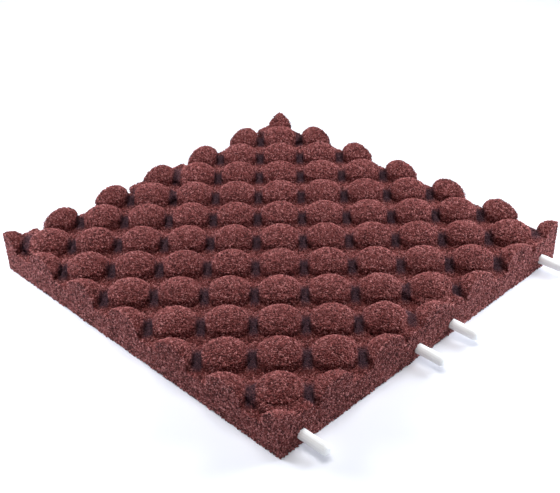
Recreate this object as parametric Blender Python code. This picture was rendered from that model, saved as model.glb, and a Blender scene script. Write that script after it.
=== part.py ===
"""Rubber safety tile with its four connecting pins, lying tread face down with its studs up.

The tile is one moulding of bonded rubber granules. Its underside stands on round studs, set on a
square lattice with a second lattice of studs halfway between, so that water drains along the
valleys. The sides cut the outermost studs in half. On two opposite sides four low blocks run in
from the edge, each over a blind bore. Plastic pins fill the bores of one side and stick out of
it, ready for the empty bores of the next tile.

Units are metres. The origin is the centre of the tread face, +X points out of the side that holds
the pins, and +Z points from the tread face to the stud tops.
"""
import math

import bmesh
import bpy
from mathutils import Matrix, Vector

# Tile
TILE_SIDE = 0.500
TILE_THICKNESS = 0.055
SLAB_THICKNESS = 0.032
HALF_SIDE = TILE_SIDE / 2

# Studs, with their heights measured from the tread face
STUD_PITCHES = 6
STUD_PITCH = TILE_SIDE / STUD_PITCHES
STUD_BASE_RADIUS = 0.0260
STUD_SHOULDER_RADIUS = 0.0249
STUD_SHOULDER_HEIGHT = 0.0435
STUD_CROWN_RADIUS = 0.005
STUD_SEGMENTS = 16
STUD_CAP_STEPS = 2

# Bores and the pins in them
PIN_DIAMETER = 0.0124
PIN_LENGTH = 0.080
PIN_END_RADIUS = 0.0035
FIT_GAP = 0.0003
BORE_DIAMETER = PIN_DIAMETER + 2 * FIT_GAP
BORE_DEPTH = 0.045
BORE_HEIGHT = 0.0135
BORE_OFFSETS = [fraction * TILE_SIDE for fraction in (-7 / 16, -1 / 16, 1 / 16, 7 / 16)]
ROUND_SEGMENTS = 16
PIN_END_STEPS = 3

# Blocks over the bores
BLOCK_WIDTH = 0.038
BLOCK_LENGTH = 0.068
BLOCK_TOP = 0.041
BLOCK_EDGE_RADIUS = 0.004

# How far a solid reaches into its neighbour, or past the side, before they are joined or cut
OVERLAP = 0.008


def clear_scene():
    """Removes whatever the scene holds."""
    for item in list(bpy.data.objects):
        bpy.data.objects.remove(item, do_unlink=True)


def make_material(name, color, roughness):
    """Returns a plain, non-metallic material."""
    material = bpy.data.materials.new(name)
    material.use_nodes = True
    shader = material.node_tree.nodes["Principled BSDF"]
    shader.inputs["Base Color"].default_value = (*color, 1.0)
    shader.inputs["Roughness"].default_value = roughness
    shader.inputs["Metallic"].default_value = 0.0
    return material


def object_from(name, bm):
    """Turns a finished bmesh into a linked object whose faces point outwards."""
    bmesh.ops.recalc_face_normals(bm, faces=bm.faces)
    mesh = bpy.data.meshes.new(name)
    bm.to_mesh(mesh)
    bm.free()
    item = bpy.data.objects.new(name, mesh)
    bpy.context.scene.collection.objects.link(item)
    return item


def as_guide(item):
    """Marks a solid that only shapes the tile."""
    item.hide_render = True
    item.display_type = "WIRE"
    return item


def add_box(bm, low, high):
    """Adds an axis-aligned box between two corners and returns its vertices."""
    size = Vector(high) - Vector(low)
    middle = (Vector(high) + Vector(low)) / 2
    matrix = Matrix.Translation(middle) @ Matrix.Diagonal((*size, 1.0))
    return bmesh.ops.create_cube(bm, size=1.0, matrix=matrix)["verts"]


def make_box(name, low, high):
    bm = bmesh.new()
    add_box(bm, low, high)
    return object_from(name, bm)


def stud_profile():
    """Radius and height of each ring of a stud: its side, then the ball-shaped cap on top."""
    rise = TILE_THICKNESS - STUD_SHOULDER_HEIGHT
    spread = STUD_SHOULDER_RADIUS ** 2 - STUD_CROWN_RADIUS ** 2
    ball_centre = TILE_THICKNESS - (spread + rise ** 2) / (2 * rise)
    ball_radius = math.hypot(STUD_CROWN_RADIUS, TILE_THICKNESS - ball_centre)
    shoulder_turn = math.asin(STUD_SHOULDER_RADIUS / ball_radius)
    crown_turn = math.asin(STUD_CROWN_RADIUS / ball_radius)
    rings = [(STUD_BASE_RADIUS, SLAB_THICKNESS - OVERLAP), (STUD_BASE_RADIUS, SLAB_THICKNESS)]
    for step in range(STUD_CAP_STEPS + 1):
        turn = shoulder_turn + (crown_turn - shoulder_turn) * step / STUD_CAP_STEPS
        rings.append((ball_radius * math.sin(turn), ball_centre + ball_radius * math.cos(turn)))
    return rings


def stud_centres():
    """Centres of both stud lattices, the ones on the sides and corners included."""
    centres = []
    for shift in (0.0, 0.5):
        marks = [-HALF_SIDE + (n + shift) * STUD_PITCH for n in range(STUD_PITCHES + 1)]
        marks = [mark for mark in marks if mark < HALF_SIDE + STUD_PITCH / 4]
        centres += [(x, y) for x in marks for y in marks]
    return centres


def add_stud(bm, x, y):
    """Adds one turned stud. No corner of its polygon points along X or Y, where sides cut it."""
    first = math.radians(180) / STUD_SEGMENTS
    across = Vector((math.cos(first), math.sin(first), 0.0))
    centre = Vector((x, y, 0.0))
    verts = [bm.verts.new(centre + across * radius + Vector((0.0, 0.0, height)))
             for radius, height in stud_profile()]
    edges = [bm.edges.new(pair) for pair in zip(verts, verts[1:])]
    bmesh.ops.spin(bm, geom=verts + edges, cent=centre, axis=(0.0, 0.0, 1.0),
                   angle=math.radians(360), steps=STUD_SEGMENTS, use_merge=True)


def make_studs():
    """All studs, each a closed body that starts inside the slab."""
    bm = bmesh.new()
    for x, y in stud_centres():
        add_stud(bm, x, y)
    rims = [edge for edge in bm.edges if edge.is_boundary]
    bmesh.ops.holes_fill(bm, edges=rims)
    return as_guide(object_from("stud_guide", bm))


def make_blocks():
    """The low blocks over the bores, on both pinned sides, with their upper edges rounded."""
    bm = bmesh.new()
    for side in (-1, 1):
        ends = sorted((side * (HALF_SIDE - BLOCK_LENGTH), side * (HALF_SIDE + OVERLAP)))
        for offset in BORE_OFFSETS:
            low = (ends[0], offset - BLOCK_WIDTH / 2, SLAB_THICKNESS - OVERLAP)
            high = (ends[1], offset + BLOCK_WIDTH / 2, BLOCK_TOP)
            corners = [vert for vert in add_box(bm, low, high) if vert.co.z > SLAB_THICKNESS]
            upper = {edge for vert in corners for edge in vert.link_edges
                     if edge.other_vert(vert) in corners}
            bmesh.ops.bevel(bm, geom=list(upper), offset=BLOCK_EDGE_RADIUS, offset_type="OFFSET",
                            affect="EDGES", segments=2, profile=0.5, material=-1)
    return as_guide(object_from("block_guide", bm))


def make_bores():
    """The blind round holes in both pinned sides."""
    bm = bmesh.new()
    length = BORE_DEPTH + OVERLAP
    for side in (-1, 1):
        middle_x = side * (HALF_SIDE - BORE_DEPTH + length / 2)
        for offset in BORE_OFFSETS:
            matrix = Matrix.Translation((middle_x, offset, BORE_HEIGHT))
            matrix = matrix @ Matrix.Rotation(math.radians(90), 4, "Y")
            bmesh.ops.create_cone(bm, cap_ends=True, segments=ROUND_SEGMENTS, depth=length,
                                  radius1=BORE_DIAMETER / 2, radius2=BORE_DIAMETER / 2,
                                  matrix=matrix)
    return as_guide(object_from("bore_guide", bm))


def shape_with(item, operation, guide):
    """Joins, cuts or trims a solid with a guide."""
    step = item.modifiers.new(guide.name, "BOOLEAN")
    step.operation = operation
    step.solver = "EXACT"
    step.object = guide


def make_tile(material):
    """The moulding: a slab with studs and blocks, trimmed to its square and bored."""
    reach = HALF_SIDE + OVERLAP
    tile = make_box("tile", (-reach, -reach, 0.0), (reach, reach, SLAB_THICKNESS))
    outline = make_box("outline_guide", (-HALF_SIDE, -HALF_SIDE, -OVERLAP),
                       (HALF_SIDE, HALF_SIDE, TILE_THICKNESS + OVERLAP))
    shape_with(tile, "UNION", make_studs())
    shape_with(tile, "UNION", make_blocks())
    shape_with(tile, "INTERSECT", as_guide(outline))
    shape_with(tile, "DIFFERENCE", make_bores())
    tile.data.materials.append(material)
    return tile


def make_pin(name, offset, material):
    """One straight pin with rounded ends, pushed in until it nearly meets the end of its bore."""
    bm = bmesh.new()
    bmesh.ops.create_cone(bm, cap_ends=True, segments=ROUND_SEGMENTS, depth=PIN_LENGTH,
                          radius1=PIN_DIAMETER / 2, radius2=PIN_DIAMETER / 2,
                          matrix=Matrix.Rotation(math.radians(90), 4, "Y"))
    ends = [edge for edge in bm.edges if abs(edge.verts[0].co.x - edge.verts[1].co.x) < OVERLAP]
    bmesh.ops.bevel(bm, geom=ends, offset=PIN_END_RADIUS, offset_type="OFFSET", affect="EDGES",
                    segments=PIN_END_STEPS, profile=0.5, material=-1)
    pin = object_from(name, bm)
    inner_end = HALF_SIDE - BORE_DEPTH + FIT_GAP
    pin.location = (inner_end + PIN_LENGTH / 2, offset, BORE_HEIGHT)
    pin.data.materials.append(material)
    pin.data.shade_smooth()
    pin.data.set_sharp_from_angle(angle=math.radians(40))
    return pin


def main():
    clear_scene()
    make_tile(make_material("red_brown_rubber", (0.190, 0.062, 0.057), 0.9))
    white = make_material("white_plastic", (0.82, 0.82, 0.80), 0.4)
    for number, offset in enumerate(BORE_OFFSETS, start=1):
        make_pin(f"pin_{number}", offset, white)


main()
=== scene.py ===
"""The finished look of the rubber safety tile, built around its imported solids.

The tile lies as it is photographed: tread face down on a pale floor, with its studded underside up
and four white pins standing out of one side. All lengths are in metres, in the tile's own frame.
"""
import math

import bmesh
import bpy
import numpy as np
from mathutils import Matrix, Vector


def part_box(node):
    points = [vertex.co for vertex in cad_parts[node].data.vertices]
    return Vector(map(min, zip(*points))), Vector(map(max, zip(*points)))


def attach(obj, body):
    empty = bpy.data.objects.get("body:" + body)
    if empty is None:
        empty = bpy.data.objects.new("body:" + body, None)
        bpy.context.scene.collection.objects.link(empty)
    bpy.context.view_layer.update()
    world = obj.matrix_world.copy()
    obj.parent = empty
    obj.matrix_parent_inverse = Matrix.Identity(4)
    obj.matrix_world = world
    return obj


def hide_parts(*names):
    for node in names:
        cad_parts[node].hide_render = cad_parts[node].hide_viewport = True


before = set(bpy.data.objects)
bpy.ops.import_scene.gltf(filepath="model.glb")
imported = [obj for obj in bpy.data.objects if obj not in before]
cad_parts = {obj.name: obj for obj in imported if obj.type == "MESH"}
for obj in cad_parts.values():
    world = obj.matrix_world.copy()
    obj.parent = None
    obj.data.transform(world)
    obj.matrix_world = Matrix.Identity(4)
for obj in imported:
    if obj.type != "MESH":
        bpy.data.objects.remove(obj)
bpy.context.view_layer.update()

# The view
# The camera stands over the corner between the pinned side and a plain side, as the photographer
# did. Its place was fitted to the tile's corners and studs in the 560 by 493 picture.
CAMERA_TURN = math.radians(45.835)
CAMERA_RISE = math.radians(32.222)
CAMERA_ROLL = math.radians(-1.556)
CAMERA_DISTANCE = 1.2696
CAMERA_AIM = Vector((-0.0297, 0.0288, 0.0))
SENSOR_WIDTH = 36.0
PICTURE_WIDTH = 560
FOCAL_PIXELS = 949.5
FOCAL_LENGTH = SENSOR_WIDTH * FOCAL_PIXELS / PICTURE_WIDTH

lens = bpy.data.cameras.new("camera")
lens.sensor_width = SENSOR_WIDTH
lens.lens = FOCAL_LENGTH
camera = bpy.data.objects.new("camera", lens)
bpy.context.scene.collection.objects.link(camera)
camera.matrix_world = (
    Matrix.Translation(CAMERA_AIM)
    @ Matrix.Rotation(CAMERA_TURN, 4, "Z")
    @ Matrix.Rotation(math.radians(90) - CAMERA_RISE, 4, "X")
    @ Matrix.Rotation(CAMERA_ROLL, 4, "Z")
    @ Matrix.Translation((0.0, 0.0, CAMERA_DISTANCE))
)
bpy.context.scene.camera = camera

# The light
# A white studio with a wide soft light straight overhead and pale walls all round. A smaller box
# at either side brightens the far ends of the tile's sides, and one behind it the rear studs.
ROOM_COLOR = (0.86, 0.92, 1.0, 1.0)
OVERHEAD_COLOR = (1.0, 1.0, 1.0, 1.0)
ROOM_LIGHT = 0.08
WALL_LIGHT = 0.75
WALL_TOP = (0.17, 0.05)
OVERHEAD_LIGHT = 7.6
OVERHEAD_EDGE = (0.93, 0.97)
BOX_COLOR = (0.93, 1.0, 1.08)
SOFT_BOXES = {
    "left_box": (Vector((-0.92, -0.62, 0.52)), Vector(), 0.6, 18.5),
    "right_box": (Vector((0.60, 0.78, 0.46)), Vector(), 0.6, 13.5),
    "rear_box": (Vector((-1.20, 1.20, 0.90)), Vector((-1.0, 1.0, 0.0)), 0.9, 5.6),
}


class Value:
    """A socket of a node tree, used in Python expressions that add its Math nodes."""

    def __init__(self, nodes, socket):
        self.nodes = nodes
        self.socket = socket

    def maths(self, operation, *values):
        return self.nodes.add("ShaderNodeMath", {"operation": operation}, dict(enumerate(values)))[0]

    def __add__(self, other):
        return self.maths("ADD", self, other)

    def __radd__(self, other):
        return self.maths("ADD", other, self)

    def __sub__(self, other):
        return self.maths("SUBTRACT", self, other)

    def __rsub__(self, other):
        return self.maths("SUBTRACT", other, self)

    def __mul__(self, other):
        return self.maths("MULTIPLY", self, other)

    def __rmul__(self, other):
        return self.maths("MULTIPLY", other, self)

    def eased(self, start, end):
        """Nought up to the start and one past the end, with a soft step between."""
        return self.nodes.add("ShaderNodeMapRange", {"interpolation_type": "SMOOTHSTEP"}, {
            "Value": self, "From Min": start, "From Max": end})[0]


class Nodes:
    """The node tree of the studio or of a material, with the shader that its nodes feed."""

    def __init__(self, owner, shader):
        owner.use_nodes = True
        self.owner = owner
        self.tree = owner.node_tree
        self.shader = self.tree.nodes[shader]

    def add(self, kind, settings, values):
        """Adds a node: its type, its settings, then the values or links of its sockets."""
        node = self.tree.nodes.new(kind)
        for name, setting in settings.items():
            if name == "stops":
                while len(node.color_ramp.elements) < len(setting):
                    node.color_ramp.elements.new(0.5)
                for element, (position, color) in zip(node.color_ramp.elements, setting):
                    element.position, element.color = position, color
            else:
                setattr(node, name, setting)
        self.feed(node, values)
        return [Value(self, socket) for socket in node.outputs]

    def blend(self, factor, first, second):
        """Mixes two colours. The Mix node's colour sockets share their names, so they go by number."""
        return self.add("ShaderNodeMix", {"data_type": "RGBA"}, {
            "Factor": factor, 6: first, 7: second})[2]

    def feed(self, node, values):
        for key, value in values.items():
            if isinstance(value, Value):
                self.tree.links.new(value.socket, node.inputs[key])
            else:
                node.inputs[key].default_value = value


nodes = Nodes(bpy.data.worlds.new("studio"), "Background")
toward = nodes.add("ShaderNodeTexCoord", {}, {})[0]
rise = nodes.add("ShaderNodeSeparateXYZ", {}, {"Vector": toward})[2]
walls = rise.eased(*WALL_TOP)
overhead = rise.eased(*OVERHEAD_EDGE)
nodes.feed(nodes.shader, {
    "Color": nodes.blend(overhead, ROOM_COLOR, OVERHEAD_COLOR),
    "Strength": walls * WALL_LIGHT + overhead * OVERHEAD_LIGHT + ROOM_LIGHT})
bpy.context.scene.world = nodes.owner
bpy.context.scene.view_settings.view_transform = "Standard"
for name, (place, aim, size, power) in SOFT_BOXES.items():
    light = bpy.data.lights.new(name, "AREA")
    light.shape = "SQUARE"
    light.size = size
    light.energy = power
    light.color = BOX_COLOR
    lamp = bpy.data.objects.new(name, light)
    bpy.context.scene.collection.objects.link(lamp)
    lamp.location = place
    lamp.rotation_euler = (place - aim).to_track_quat("Z", "Y").to_euler()

# The floor
# A plain white sheet under the tile, level with its tread face. It is painted board, matt all
# over, and it only catches the soft shadows.
FLOOR_SIZE = 12.0
FLOOR_COLOR = (0.76, 0.76, 0.80, 1.0)
FLOOR_ROUGHNESS = 0.8

bm = bmesh.new()
bmesh.ops.create_grid(bm, x_segments=1, y_segments=1, size=FLOOR_SIZE / 2)
sheet = bpy.data.meshes.new("floor")
bm.to_mesh(sheet)
bm.free()
floor = bpy.data.objects.new("floor", sheet)
bpy.context.scene.collection.objects.link(floor)
nodes = Nodes(bpy.data.materials.new("white_board"), "Principled BSDF")
nodes.feed(nodes.shader, {"Base Color": FLOOR_COLOR, "Roughness": FLOOR_ROUGHNESS})
floor.data.materials.append(nodes.owner)

# The moulding
# The tile's body is one block of rubber granules, bound with polyurethane and pressed in a mould.
# It is modelled a little under size, because the crumbs of its skin come on top of it.
TILE_LOW, TILE_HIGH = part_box("tile")
SIDE = TILE_HIGH.x - TILE_LOW.x
HALF = SIDE / 2
THICKNESS = TILE_HIGH.z
SLAB = 0.032
STUD_PITCH = SIDE / 6
STUD_FOOT_RADIUS = 0.0260
STUD_SHOULDER_RADIUS = 0.0249
STUD_SHOULDER_HEIGHT = 0.0435
STUD_BALL_RADIUS = 0.0320
STUD_SEGMENTS = 28
STUD_CAP_STEPS = 4
SHOULDER_ROUNDING = 0.0018
BLOCK_WIDTH = 0.038
BLOCK_LENGTH = 0.068
BLOCK_TOP = 0.041
BLOCK_EDGE = 0.004
BLOCK_EDGE_STEPS = 3
BORE_RADIUS = 0.0065
BORE_SEGMENTS = 40
BORE_DEPTH = 0.045
BORE_HEIGHT = 0.0135
BORE_PLACES = [SIDE * part for part in (-7 / 16, -1 / 16, 1 / 16, 7 / 16)]
OVERLAP = 0.008
BODY_INSET = 0.0010
SKIN_INSET = 0.0003
RUBBER_DARK = (0.062, 0.0106, 0.0094, 1.0)
RUBBER_MIDDLE = (0.228, 0.0520, 0.0472, 1.0)
RUBBER_PALE = (0.432, 0.166, 0.155, 1.0)
# Painted shade: a dark blue-grey laid on the floor of the narrow slots between neighbouring studs.
SLOT_SHADE_GREY = (0.058, 0.035, 0.051, 1.0)
SLOT_REACH = (0.16, 0.40)
SLOT_WIDTH = (0.055, 0.135)
SLOT_HEIGHT = (0.038, 0.050)
SLOT_FLOOR = (SLAB - 0.006, SLAB - 0.003)
SLOT_SHADE_AMOUNT = 0.8
GRIT_SCALE = 1000.0
GRIT_TINT = 0.8
GRIT_DEPTH = 0.0005
CLOUD_SCALE = 14.0
CLOUD_TINT = 0.12
CELL_SCALE = 420.0
RUBBER_ROUGHNESS = 0.62


def box_between(bm, low, high):
    """Adds a box between two corners and returns its vertices."""
    low, high = Vector(low), Vector(high)
    place = Matrix.Translation((low + high) / 2) @ Matrix.Diagonal((*(high - low), 1.0))
    return bmesh.ops.create_cube(bm, size=1.0, matrix=place)["verts"]


def guide_from(name, bm):
    """Makes an object of a closed bmesh, to be joined to the moulding or cut from it."""
    bmesh.ops.recalc_face_normals(bm, faces=bm.faces)
    mesh = bpy.data.meshes.new(name)
    bm.to_mesh(mesh)
    bm.free()
    guide = bpy.data.objects.new(name, mesh)
    bpy.context.scene.collection.objects.link(guide)
    return guide


def stud_outline(inset):
    """Radius and height up a stud: foot, drafted side, rounded shoulder, then the cap of a ball."""
    ball = STUD_BALL_RADIUS - inset
    centre = THICKNESS - STUD_BALL_RADIUS
    shoulder = Vector((STUD_SHOULDER_RADIUS - inset, STUD_SHOULDER_HEIGHT))
    brim = math.asin(shoulder.x / ball)
    onto_cap = brim - SHOULDER_ROUNDING / ball
    down_side = Vector((0.0, -SHOULDER_ROUNDING))
    up_cap = Vector((ball * math.sin(onto_cap), centre + ball * math.cos(onto_cap)))
    outline = [Vector((STUD_FOOT_RADIUS - inset, SLAB - OVERLAP)),
               Vector((STUD_FOOT_RADIUS - inset, SLAB))]
    for step in range(STUD_CAP_STEPS):
        part = step / STUD_CAP_STEPS
        outline.append((1 - part) ** 2 * (shoulder + down_side) + 2 * part * (1 - part) * shoulder
                       + part ** 2 * up_cap)
    for step in range(STUD_CAP_STEPS + 1):
        turn = onto_cap * (1 - step / STUD_CAP_STEPS)
        outline.append(Vector((ball * math.sin(turn), centre + ball * math.cos(turn))))
    return outline


def studs(inset):
    """Both lattices of studs, the second one halfway between the first."""
    bm = bmesh.new()
    for shift, count in ((0.0, 7), (0.5, 6)):
        for column in range(count):
            for row in range(count):
                x = TILE_LOW.x + (column + shift) * STUD_PITCH
                y = TILE_LOW.y + (row + shift) * STUD_PITCH
                points = [bm.verts.new((x + radius, y, height))
                          for radius, height in stud_outline(inset)]
                rises = [bm.edges.new(pair) for pair in zip(points, points[1:])]
                bmesh.ops.spin(bm, geom=points + rises, cent=(x, y, 0.0), axis=(0.0, 0.0, 1.0),
                               angle=math.radians(360), steps=STUD_SEGMENTS, use_merge=True)
    bmesh.ops.holes_fill(bm, edges=[edge for edge in bm.edges if edge.is_boundary])
    return guide_from("studs", bm)


def blocks(inset):
    """The low blocks that thicken the slab over the bores, with rounded upper edges."""
    bm = bmesh.new()
    for end in (-1, 1):
        inner, outer = sorted((end * (HALF - BLOCK_LENGTH + inset), end * (HALF + OVERLAP)))
        for place in BORE_PLACES:
            reach = BLOCK_WIDTH / 2 - inset
            corners = box_between(bm, (inner, place - reach, SLAB - OVERLAP),
                                  (outer, place + reach, BLOCK_TOP - inset))
            top = [corner for corner in corners if corner.co.z > SLAB]
            brims = {edge for corner in top for edge in corner.link_edges
                     if edge.other_vert(corner) in top}
            bmesh.ops.bevel(bm, geom=list(brims), offset=BLOCK_EDGE, offset_type="OFFSET",
                            affect="EDGES", segments=BLOCK_EDGE_STEPS, profile=0.5, material=-1)
    return guide_from("blocks", bm)


def bores():
    """The blind round bores, four in each of two sides."""
    bm = bmesh.new()
    for end in (-1, 1):
        for place in BORE_PLACES:
            middle = Vector((end * (HALF + OVERLAP / 2 - BORE_DEPTH / 2), place, BORE_HEIGHT))
            turned = Matrix.Translation(middle) @ Matrix.Rotation(math.radians(90), 4, "Y")
            bmesh.ops.create_cone(bm, cap_ends=True, segments=BORE_SEGMENTS, radius1=BORE_RADIUS,
                                  radius2=BORE_RADIUS, depth=BORE_DEPTH + OVERLAP, matrix=turned)
    return guide_from("bores", bm)


def whole_box(inset):
    """The square outline that the mould's walls give the tile."""
    bm = bmesh.new()
    box_between(bm, (inset - HALF, inset - HALF, inset), (HALF - inset, HALF - inset, THICKNESS))
    return guide_from("outline", bm)


def settle(piece):
    """Applies a piece's modifiers to its mesh."""
    bpy.context.view_layer.update()
    seen = piece.evaluated_get(bpy.context.evaluated_depsgraph_get())
    finished = bpy.data.meshes.new_from_object(seen)
    piece.modifiers.clear()
    piece.data = finished


def put_in_order(piece):
    """Lists a piece's corners and faces by their places, so that each run makes the same mesh."""
    spots = [tuple(corner.co) for corner in piece.data.vertices]
    order = sorted(range(len(spots)), key=spots.__getitem__)
    rank = {old: new for new, old in enumerate(order)}
    faces = []
    for face in piece.data.polygons:
        ring = [rank[corner] for corner in face.vertices]
        first = ring.index(min(ring))
        faces.append(ring[first:] + ring[:first])
    mesh = bpy.data.meshes.new(piece.name)
    mesh.from_pydata([spots[corner] for corner in order], [], sorted(faces))
    piece.data = mesh


def moulding(name, inset, bored):
    """The tile's whole shape, smaller all round by the inset."""
    bm = bmesh.new()
    reach = HALF + OVERLAP
    box_between(bm, (-reach, -reach, inset - OVERLAP), (reach, reach, SLAB - inset))
    piece = guide_from(name, bm)
    steps = [("UNION", studs(inset)), ("UNION", blocks(inset)), ("INTERSECT", whole_box(inset))]
    if bored:
        steps.append(("DIFFERENCE", bores()))
    for operation, guide in steps:
        step = piece.modifiers.new(guide.name, "BOOLEAN")
        step.operation = operation
        step.solver = "MANIFOLD"
        step.object = guide
    settle(piece)
    put_in_order(piece)
    for _, guide in steps:
        bpy.data.objects.remove(guide)
    return piece


def place_in_piece(nodes):
    return nodes.add("ShaderNodeTexCoord", {}, {})[3]


def slot_shade(nodes, place):
    """Painted shade in the narrow slots that run along one diagonal: one down in them, and nought
    elsewhere.
    """
    x, y, z = nodes.add("ShaderNodeSeparateXYZ", {}, {"Vector": place})
    across = x.maths("PINGPONG", (x + y) * (1 / STUD_PITCH), 0.5)
    along = x.maths("PINGPONG", (y - x) * (1 / STUD_PITCH), 0.5)
    middle = along.eased(*reversed(SLOT_REACH))
    beside = (0.5 - across).eased(*reversed(SLOT_WIDTH))
    deep = z.eased(*reversed(SLOT_HEIGHT))
    above = z.eased(*SLOT_FLOOR)
    return middle * beside * deep * above


def granulate(name, shade):
    """Bound rubber granules. The shade of each is its own, and fine grit roughens them all."""
    nodes = Nodes(bpy.data.materials.new(name), "Principled BSDF")
    place = place_in_piece(nodes)
    grit, cloud = [
        nodes.add("ShaderNodeTexNoise", {}, {"Vector": place, "Scale": scale, "Detail": 2.0})[0]
        for scale in (GRIT_SCALE, CLOUD_SCALE)]
    tone = shade(nodes, place) + (grit - 0.5) * GRIT_TINT + (cloud - 0.5) * CLOUD_TINT
    red = nodes.add("ShaderNodeValToRGB", {"stops": [
        (0.0, RUBBER_DARK), (0.5, RUBBER_MIDDLE), (1.0, RUBBER_PALE)]}, {"Fac": tone})[0]
    # Painted shade: the colour is mixed towards a dark blue-grey on the floor of the slots.
    color = nodes.blend(slot_shade(nodes, place) * SLOT_SHADE_AMOUNT, red, SLOT_SHADE_GREY)
    bump = nodes.add("ShaderNodeBump", {}, {
        "Height": grit, "Distance": GRIT_DEPTH, "Strength": 0.8})[0]
    nodes.feed(nodes.shader, {
        "Base Color": color, "Roughness": RUBBER_ROUGHNESS - (grit - 0.5) * 0.3,
        "Specular IOR Level": 0.2, "Normal": bump})
    return nodes.owner


def crevice_shade(nodes, place):
    """Dark tones for the moulding itself, which shows between its crumbs: painted shade for the
    crevices, with a random tone in each cell.
    """
    cell = nodes.add("ShaderNodeTexVoronoi", {}, {"Vector": place, "Scale": CELL_SCALE})
    tint = nodes.add("ShaderNodeSeparateColor", {}, {"Color": cell[1]})[0]
    return 0.02 + tint * 0.25


def chip_shade(nodes, place):
    """The shade that each crumb carries."""
    return nodes.add("ShaderNodeAttribute", {"attribute_name": "shade"}, {})[2]


body = moulding("tile_body", BODY_INSET, bored=True)
# The moulding shows only in the crevices between the crumbs, and its dark colour there is painted
# shade.
body.data.materials.append(granulate("pressed_granulate", crevice_shade))
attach(body, "root")
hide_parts("tile")

# The granules
# Crumbs of ground rubber, one to four millimetres across, cover every face of the moulding. Binder
# holds them half sunk in it; along the sides and the tread face the mould has pressed them flat.
TOP_SPACING = 0.00155
TREAD_SPACING = 0.0033
GRANULE_RADIUS = 0.00138
TREAD_STRETCH = 1.5
EDGE_BAND = 0.002
MOUTH_MARGIN = 0.0008
PROUD = 0.0003
CANDIDATES = 3.2e6
CHIP_KINDS = 12
CHIP_CORNERS = ((1.0, 0, 0), (-0.5, 0.87, 0), (-0.5, -0.87, 0), (0, 0, 0.9), (0, 0, -0.9))
CHIP_WARP = 0.2
SIZE_RANGE = (0.7, 1.3)
STRETCH_RANGE = (0.75, 1.25)
HEIGHT_RANGE = (-0.0005, 0.0001)
PRESSED_RANGE = (0.0, 0.0003)
SHADE_MEAN = 0.50
SHADE_SPREAD = 0.27
SIDE_SPREAD = 0.36
CHART_CORNERS = np.array([(0.2, 0.2), (0.8, 0.2), (0.8, 0.8), (0.2, 0.8), (0.5, 0.5)])
SEED = 3

picks = np.random.default_rng(SEED)
chips = []
for _ in range(CHIP_KINDS):
    bm = bmesh.new()
    for corner in CHIP_CORNERS:
        bm.verts.new(Vector(corner) + Vector(picks.uniform(-CHIP_WARP, CHIP_WARP, 3)))
    bmesh.ops.convex_hull(bm, input=bm.verts)
    bmesh.ops.recalc_face_normals(bm, faces=bm.faces)
    bm.verts.index_update()
    chips.append(([tuple(v.co) for v in bm.verts], [[v.index for v in f.verts] for f in bm.faces]))
    bm.free()
skin = moulding("skin", SKIN_INSET, bored=False)


def scatter(spacing):
    """Points all over the skin, no two closer than the spacing, and the way that each faces."""
    group = bpy.data.node_groups.new("scatter", "GeometryNodeTree")
    group.interface.new_socket("Geometry", in_out="INPUT", socket_type="NodeSocketGeometry")
    group.interface.new_socket("Geometry", in_out="OUTPUT", socket_type="NodeSocketGeometry")
    source = group.nodes.new("NodeGroupInput")
    points = group.nodes.new("GeometryNodeDistributePointsOnFaces")
    points.distribute_method = "POISSON"
    points.inputs["Distance Min"].default_value = spacing
    points.inputs["Density Max"].default_value = CANDIDATES
    points.inputs["Seed"].default_value = SEED
    keep = group.nodes.new("GeometryNodeStoreNamedAttribute")
    keep.data_type = "FLOAT_VECTOR"
    keep.inputs["Name"].default_value = "facing"
    corners = group.nodes.new("GeometryNodePointsToVertices")
    result = group.nodes.new("NodeGroupOutput")
    group.links.new(source.outputs[0], points.inputs["Mesh"])
    group.links.new(points.outputs["Points"], keep.inputs["Geometry"])
    group.links.new(points.outputs["Normal"], keep.inputs["Value"])
    group.links.new(keep.outputs[0], corners.inputs["Points"])
    group.links.new(corners.outputs[0], result.inputs[0])
    carrier = bpy.data.objects.new("carrier", skin.data)
    bpy.context.scene.collection.objects.link(carrier)
    carrier.modifiers.new("scatter", "NODES").node_group = group
    settle(carrier)
    places = np.empty((len(carrier.data.vertices), 3), np.float32)
    facings = np.empty_like(places)
    carrier.data.vertices.foreach_get("co", places.ravel())
    carrier.data.attributes["facing"].data.foreach_get("vector", facings.ravel())
    bpy.data.objects.remove(carrier)
    return places, facings


places, facings = scatter(TOP_SPACING)
tread_places, tread_facings = scatter(TREAD_SPACING)
bpy.data.objects.remove(skin)
upper = places[:, 2] > EDGE_BAND
lower = tread_places[:, 2] <= EDGE_BAND
places = np.concatenate((places[upper], tread_places[lower]))
facings = np.concatenate((facings[upper], tread_facings[lower]))

outward = np.abs(places[:, :2]).max(axis=1)
in_mouth = np.zeros(len(places), bool)
for place in BORE_PLACES:
    off_axis = np.hypot(places[:, 1] - place, places[:, 2] - BORE_HEIGHT)
    in_mouth |= (np.abs(places[:, 0]) > HALF - EDGE_BAND) & (off_axis < BORE_RADIUS + MOUTH_MARGIN)

on_tread = places[:, 2] <= EDGE_BAND
on_side = ~on_tread & (outward > HALF - EDGE_BAND)
on_floor = ~on_tread & ~on_side & (places[:, 2] < SLAB + EDGE_BAND)
on_stud = ~on_tread & ~on_side & ~on_floor
front, right = places[:, 1] < 0, places[:, 0] >= 0
regions = {
    "granules_tread": on_tread,
    "granules_sides": on_side,
    "granules_floor": on_floor,
    "granules_studs_1": on_stud & front & ~right,
    "granules_studs_2": on_stud & front & right,
    "granules_studs_3": on_stud & ~front & right,
    "granules_studs_4": on_stud & ~front & ~right,
}
chip_corners = np.array([corners for corners, _ in chips])
chip_faces = np.array([faces for _, faces in chips])
loose = granulate("loose_granulate", chip_shade)


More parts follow.
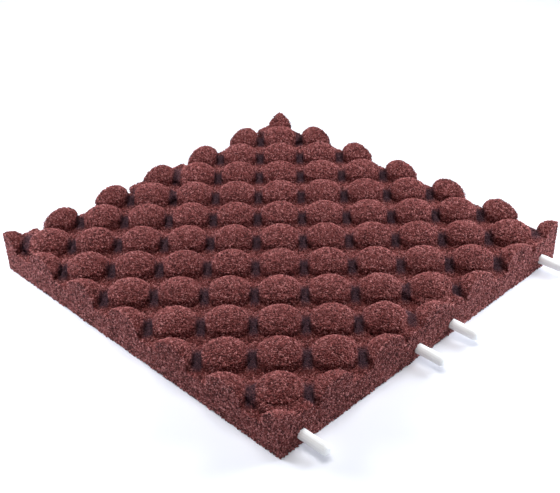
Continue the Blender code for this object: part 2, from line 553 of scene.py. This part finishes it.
def random_turns(count):
    """Rotation matrices from random unit quaternions."""
    w, x, y, z = picks.normal(size=(4, count))
    length = np.sqrt(w * w + x * x + y * y + z * z)
    w, x, y, z = w / length, x / length, y / length, z / length
    return np.stack([
        np.stack([1 - 2 * (y * y + z * z), 2 * (x * y - w * z), 2 * (x * z + w * y)], -1),
        np.stack([2 * (x * y + w * z), 1 - 2 * (x * x + z * z), 2 * (y * z - w * x)], -1),
        np.stack([2 * (x * z - w * y), 2 * (y * z + w * x), 1 - 2 * (x * x + y * y)], -1),
    ], -2)


for name, inside in regions.items():
    inside = inside & ~in_mouth
    middles, outs = places[inside], facings[inside]
    count = len(middles)
    kinds = picks.integers(len(chips), size=count)
    radius = GRANULE_RADIUS * picks.uniform(*SIZE_RANGE, (count, 1, 1))
    radius = radius * picks.uniform(*STRETCH_RANGE, (count, 1, 3))
    if name == "granules_tread":
        radius = radius * TREAD_STRETCH
    corners = np.einsum("nij,nkj->nki", random_turns(count), chip_corners[kinds] * radius)
    corners += (middles + outs * picks.uniform(*HEIGHT_RANGE, (count, 1)))[:, None, :]
    pressed = picks.uniform(*PRESSED_RANGE, (count, 1, 1))
    low = np.array((-HALF - PROUD, -HALF - PROUD, 0.0)) + pressed
    high = np.array((HALF + PROUD, HALF + PROUD, THICKNESS + 2 * PROUD)) - pressed
    corners = np.clip(corners, low, high).reshape(-1, 3)
    firsts = len(CHIP_CORNERS) * np.arange(count)
    faces = (chip_faces[kinds] + firsts[:, None, None]).reshape(-1, 3)
    mesh = bpy.data.meshes.new(name)
    mesh.vertices.add(len(corners))
    mesh.vertices.foreach_set("co", corners.astype(np.float32).ravel())
    mesh.loops.add(faces.size)
    mesh.loops.foreach_set("vertex_index", faces.astype(np.int32).ravel())
    mesh.polygons.add(len(faces))
    mesh.polygons.foreach_set("loop_start", np.arange(0, faces.size, 3, dtype=np.int32))
    mesh.update(calc_edges=True)
    spread = SIDE_SPREAD if name == "granules_sides" else SHADE_SPREAD
    shades = np.clip(picks.normal(SHADE_MEAN, spread, count), 0.0, 1.0)
    shade = mesh.attributes.new("shade", "FLOAT", "POINT")
    shade.data.foreach_set("value", np.repeat(shades, len(CHIP_CORNERS)).astype(np.float32))
    # Each crumb has a cell of its own in the chart, with its corners apart, so its colour bakes.
    cells = math.ceil(math.sqrt(count))
    across, up = np.arange(count) % cells, np.arange(count) // cells
    spots = (CHART_CORNERS[None] + np.stack((across, up), -1)[:, None]) / cells
    chart = mesh.uv_layers.new(name="OFBake")
    chart.data.foreach_set("uv", spots.reshape(-1, 2)[faces.ravel()].astype(np.float32).ravel())
    mesh.materials.append(loose)
    piece = bpy.data.objects.new(name, mesh)
    bpy.context.scene.collection.objects.link(piece)
    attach(piece, "root")

# The connecting pins
# Four loose pins of injection-moulded white plastic, pushed into the bores of one side. They keep
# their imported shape, and the mould's satin surface has a faint grain.
PIN_WHITE = (0.94, 0.94, 0.93, 1.0)
PIN_SMEAR = (0.90, 0.90, 0.89, 1.0)
PIN_ROUGHNESS = 0.34
GRAIN_SCALE = 2400.0
GRAIN_DEPTH = 0.00008
SMEAR_SCALE = 60.0

nodes = Nodes(bpy.data.materials.new("pin_plastic"), "Principled BSDF")
place = place_in_piece(nodes)
grain = nodes.add("ShaderNodeTexNoise", {}, {"Vector": place, "Scale": GRAIN_SCALE})[0]
smears = nodes.add("ShaderNodeTexNoise", {}, {"Vector": place, "Scale": SMEAR_SCALE})[0]
tint = nodes.add("ShaderNodeValToRGB", {"stops": [
    (0.3, PIN_SMEAR), (0.6, PIN_WHITE)]}, {"Fac": smears})[0]
bump = nodes.add("ShaderNodeBump", {}, {
    "Height": grain, "Distance": GRAIN_DEPTH, "Strength": 0.5})[0]
nodes.feed(nodes.shader, {
    "Base Color": tint, "Roughness": PIN_ROUGHNESS + grain * 0.14, "Normal": bump})
for number in range(1, 5):
    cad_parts[f"pin_{number}"].material_slots[0].material = nodes.owner
